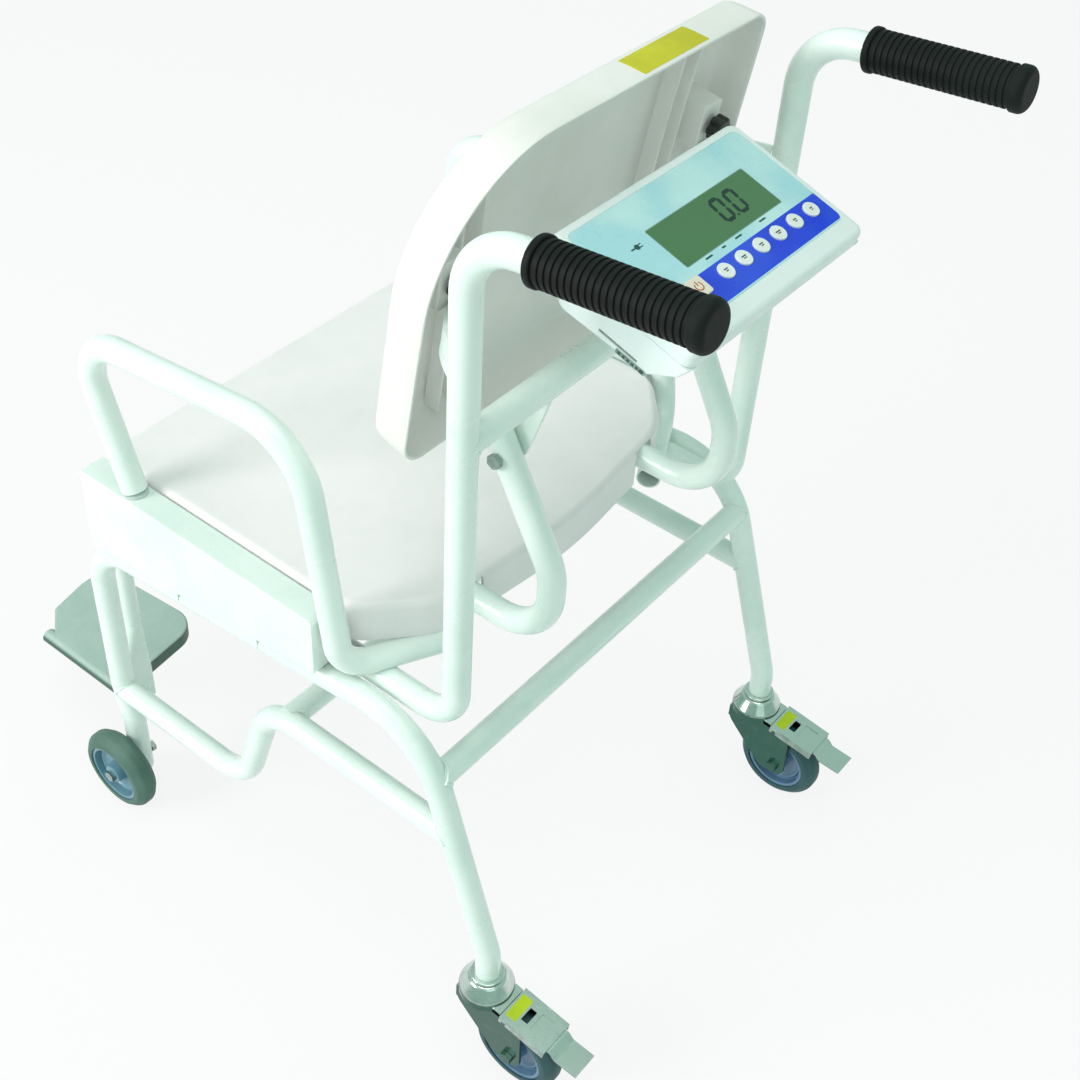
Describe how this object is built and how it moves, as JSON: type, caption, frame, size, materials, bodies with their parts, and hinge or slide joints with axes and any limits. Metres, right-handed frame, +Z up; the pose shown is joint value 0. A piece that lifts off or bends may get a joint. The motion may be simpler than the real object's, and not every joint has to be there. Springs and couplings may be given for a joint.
{
  "type": "chair scale",
  "caption": "Wheeled weighing chair: a tubular base on wheels and braked casters carries a seat frame with armrests, flip-up footrests, push handles and a digital indicator",
  "frame": {"origin": "floor level, under the centre of the overall footprint", "axes": "+Z up, +Y from the footrests towards the push handles, +X to the sitter's left"},
  "size_m": [0.587, 0.8614, 0.9589],
  "materials": {
    "frame_paint": "satin powder coat, white",
    "seat_plastic": "semi-gloss moulded shell, off-white",
    "zinc": "bright zinc plate",
    "cell_metal": "machined",
    "grip_rubber": "moulded, matt black",
    "front_tyre_rubber": "non-marking, green-grey",
    "caster_tyre_rubber": "non-marking, grey",
    "hub_plastic": "moulded, blue-grey",
    "tread_plastic": "moulded, light grey-green",
    "knob_plastic": "moulded, black",
    "case_plastic": "moulded, light grey",
    "overlay_film": "printed film, pale cyan",
    "display_panel": "liquid-crystal window, olive green",
    "board_laminate": "circuit board, green",
    "key_plastic": "moulded, white"
  },
  "bodies": {
    "chair": {"base_tube_left": "frame_paint", "base_tube_right": "frame_paint", "lower_rail_left": "frame_paint", "lower_rail_right": "frame_paint", "rear_cross_tube": "frame_paint", "front_cross_tube": "frame_paint", "middle_cross_tube": "frame_paint", "weigh_beam_front": "frame_paint", "weigh_beam_rear": "frame_paint", "handle_tube_left": "frame_paint", "handle_tube_right": "frame_paint", "upper_cross_tube": "frame_paint", "back_support_left": "frame_paint", "back_support_right": "frame_paint", "armrest_left": "frame_paint", "armrest_right": "frame_paint", "side_housing_left": "frame_paint", "side_housing_right": "frame_paint", "frame_brackets": "frame_paint", "indicator_bracket": "frame_paint", "footrest_hanger_left": "frame_paint", "footrest_hanger_right": "frame_paint", "load_cells": "cell_metal", "load_cell_blocks": "zinc", "support_bolts": "zinc", "footplate_pins": "zinc", "front_axles": "zinc", "caster_stems": "zinc", "grip_left": "grip_rubber", "grip_right": "grip_rubber", "armrest_grommets": "grip_rubber", "seat_shell": "seat_plastic", "backrest_shell": "seat_plastic", "backrest_knobs": "knob_plastic", "indicator_front_case": "case_plastic", "indicator_rear_case": "case_plastic", "indicator_overlay": "overlay_film", "indicator_display": "display_panel", "indicator_board": "board_laminate"},
    "front_wheel_left": {"front_tyre_left": "front_tyre_rubber", "front_hub_left": "hub_plastic"},
    "caster_left": {"caster_fork_left": "zinc"},
    "caster_wheel_left": {"caster_tyre_left": "caster_tyre_rubber", "caster_hub_left": "hub_plastic"},
    "brake_left": {"brake_pedal_left": "zinc"},
    "footrest_left": {"footplate_left": "tread_plastic"},
    "front_wheel_right": {"front_tyre_right": "front_tyre_rubber", "front_hub_right": "hub_plastic"},
    "caster_right": {"caster_fork_right": "zinc"},
    "caster_wheel_right": {"caster_tyre_right": "caster_tyre_rubber", "caster_hub_right": "hub_plastic"},
    "brake_right": {"brake_pedal_right": "zinc"},
    "footrest_right": {"footplate_right": "tread_plastic"},
    "key_1_cap": {"key_1": "key_plastic"},
    "key_2_cap": {"key_2": "key_plastic"},
    "key_3_cap": {"key_3": "key_plastic"},
    "key_4_cap": {"key_4": "key_plastic"},
    "key_5_cap": {"key_5": "key_plastic"},
    "key_6_cap": {"key_6": "key_plastic"},
    "power_key_cap": {"power_key": "key_plastic"}
  },
  "joints": [
    {"name": "front_wheel_left_spin", "type": "hinge", "parent": "chair", "child": "front_wheel_left", "pos_m": [0.2742, -0.2202, 0.05], "axis": [1, 0, 0], "continuous": true},
    {"name": "caster_left_swivel", "type": "hinge", "parent": "chair", "child": "caster_left", "pos_m": [0.246, 0.3023, 0.1295], "axis": [0, 0, 1], "continuous": true},
    {"name": "caster_wheel_left_spin", "type": "hinge", "parent": "caster_left", "child": "caster_wheel_left", "pos_m": [0.246, 0.3473, 0.05], "axis": [1, 0, 0], "continuous": true},
    {"name": "brake_left_press", "type": "hinge", "parent": "caster_left", "child": "brake_left", "pos_m": [0.246, 0.3403, 0.1045], "axis": [1, 0, 0], "range_deg": [-8, 0]},
    {"name": "footplate_left_flip", "type": "hinge", "parent": "chair", "child": "footrest_left", "pos_m": [0.226, -0.3242, 0.1095], "axis": [0, 1, 0], "range_deg": [0, 90]},
    {"name": "front_wheel_right_spin", "type": "hinge", "parent": "chair", "child": "front_wheel_right", "pos_m": [-0.2742, -0.2202, 0.05], "axis": [1, 0, 0], "continuous": true},
    {"name": "caster_right_swivel", "type": "hinge", "parent": "chair", "child": "caster_right", "pos_m": [-0.246, 0.3023, 0.1295], "axis": [0, 0, 1], "continuous": true},
    {"name": "caster_wheel_right_spin", "type": "hinge", "parent": "caster_right", "child": "caster_wheel_right", "pos_m": [-0.246, 0.3473, 0.05], "axis": [1, 0, 0], "continuous": true},
    {"name": "brake_right_press", "type": "hinge", "parent": "caster_right", "child": "brake_right", "pos_m": [-0.246, 0.3403, 0.1045], "axis": [1, 0, 0], "range_deg": [-8, 0]},
    {"name": "footplate_right_flip", "type": "hinge", "parent": "chair", "child": "footrest_right", "pos_m": [-0.226, -0.3242, 0.1095], "axis": [0, -1, 0], "range_deg": [0, 90]},
    {"name": "key_1_press", "type": "slide", "parent": "chair", "child": "key_1_cap", "axis": [0, -0.309, -0.9511], "range_m": [0, 0.0006], "stiffness_N_per_m": 800},
    {"name": "key_2_press", "type": "slide", "parent": "chair", "child": "key_2_cap", "axis": [0, -0.309, -0.9511], "range_m": [0, 0.0006], "stiffness_N_per_m": 800},
    {"name": "key_3_press", "type": "slide", "parent": "chair", "child": "key_3_cap", "axis": [0, -0.309, -0.9511], "range_m": [0, 0.0006], "stiffness_N_per_m": 800},
    {"name": "key_4_press", "type": "slide", "parent": "chair", "child": "key_4_cap", "axis": [0, -0.309, -0.9511], "range_m": [0, 0.0006], "stiffness_N_per_m": 800},
    {"name": "key_5_press", "type": "slide", "parent": "chair", "child": "key_5_cap", "axis": [0, -0.309, -0.9511], "range_m": [0, 0.0006], "stiffness_N_per_m": 800},
    {"name": "key_6_press", "type": "slide", "parent": "chair", "child": "key_6_cap", "axis": [0, -0.309, -0.9511], "range_m": [0, 0.0006], "stiffness_N_per_m": 800},
    {"name": "power_key_press", "type": "slide", "parent": "chair", "child": "power_key_cap", "axis": [0, -0.309, -0.9511], "range_m": [0, 0.0006], "stiffness_N_per_m": 800}
  ]
}
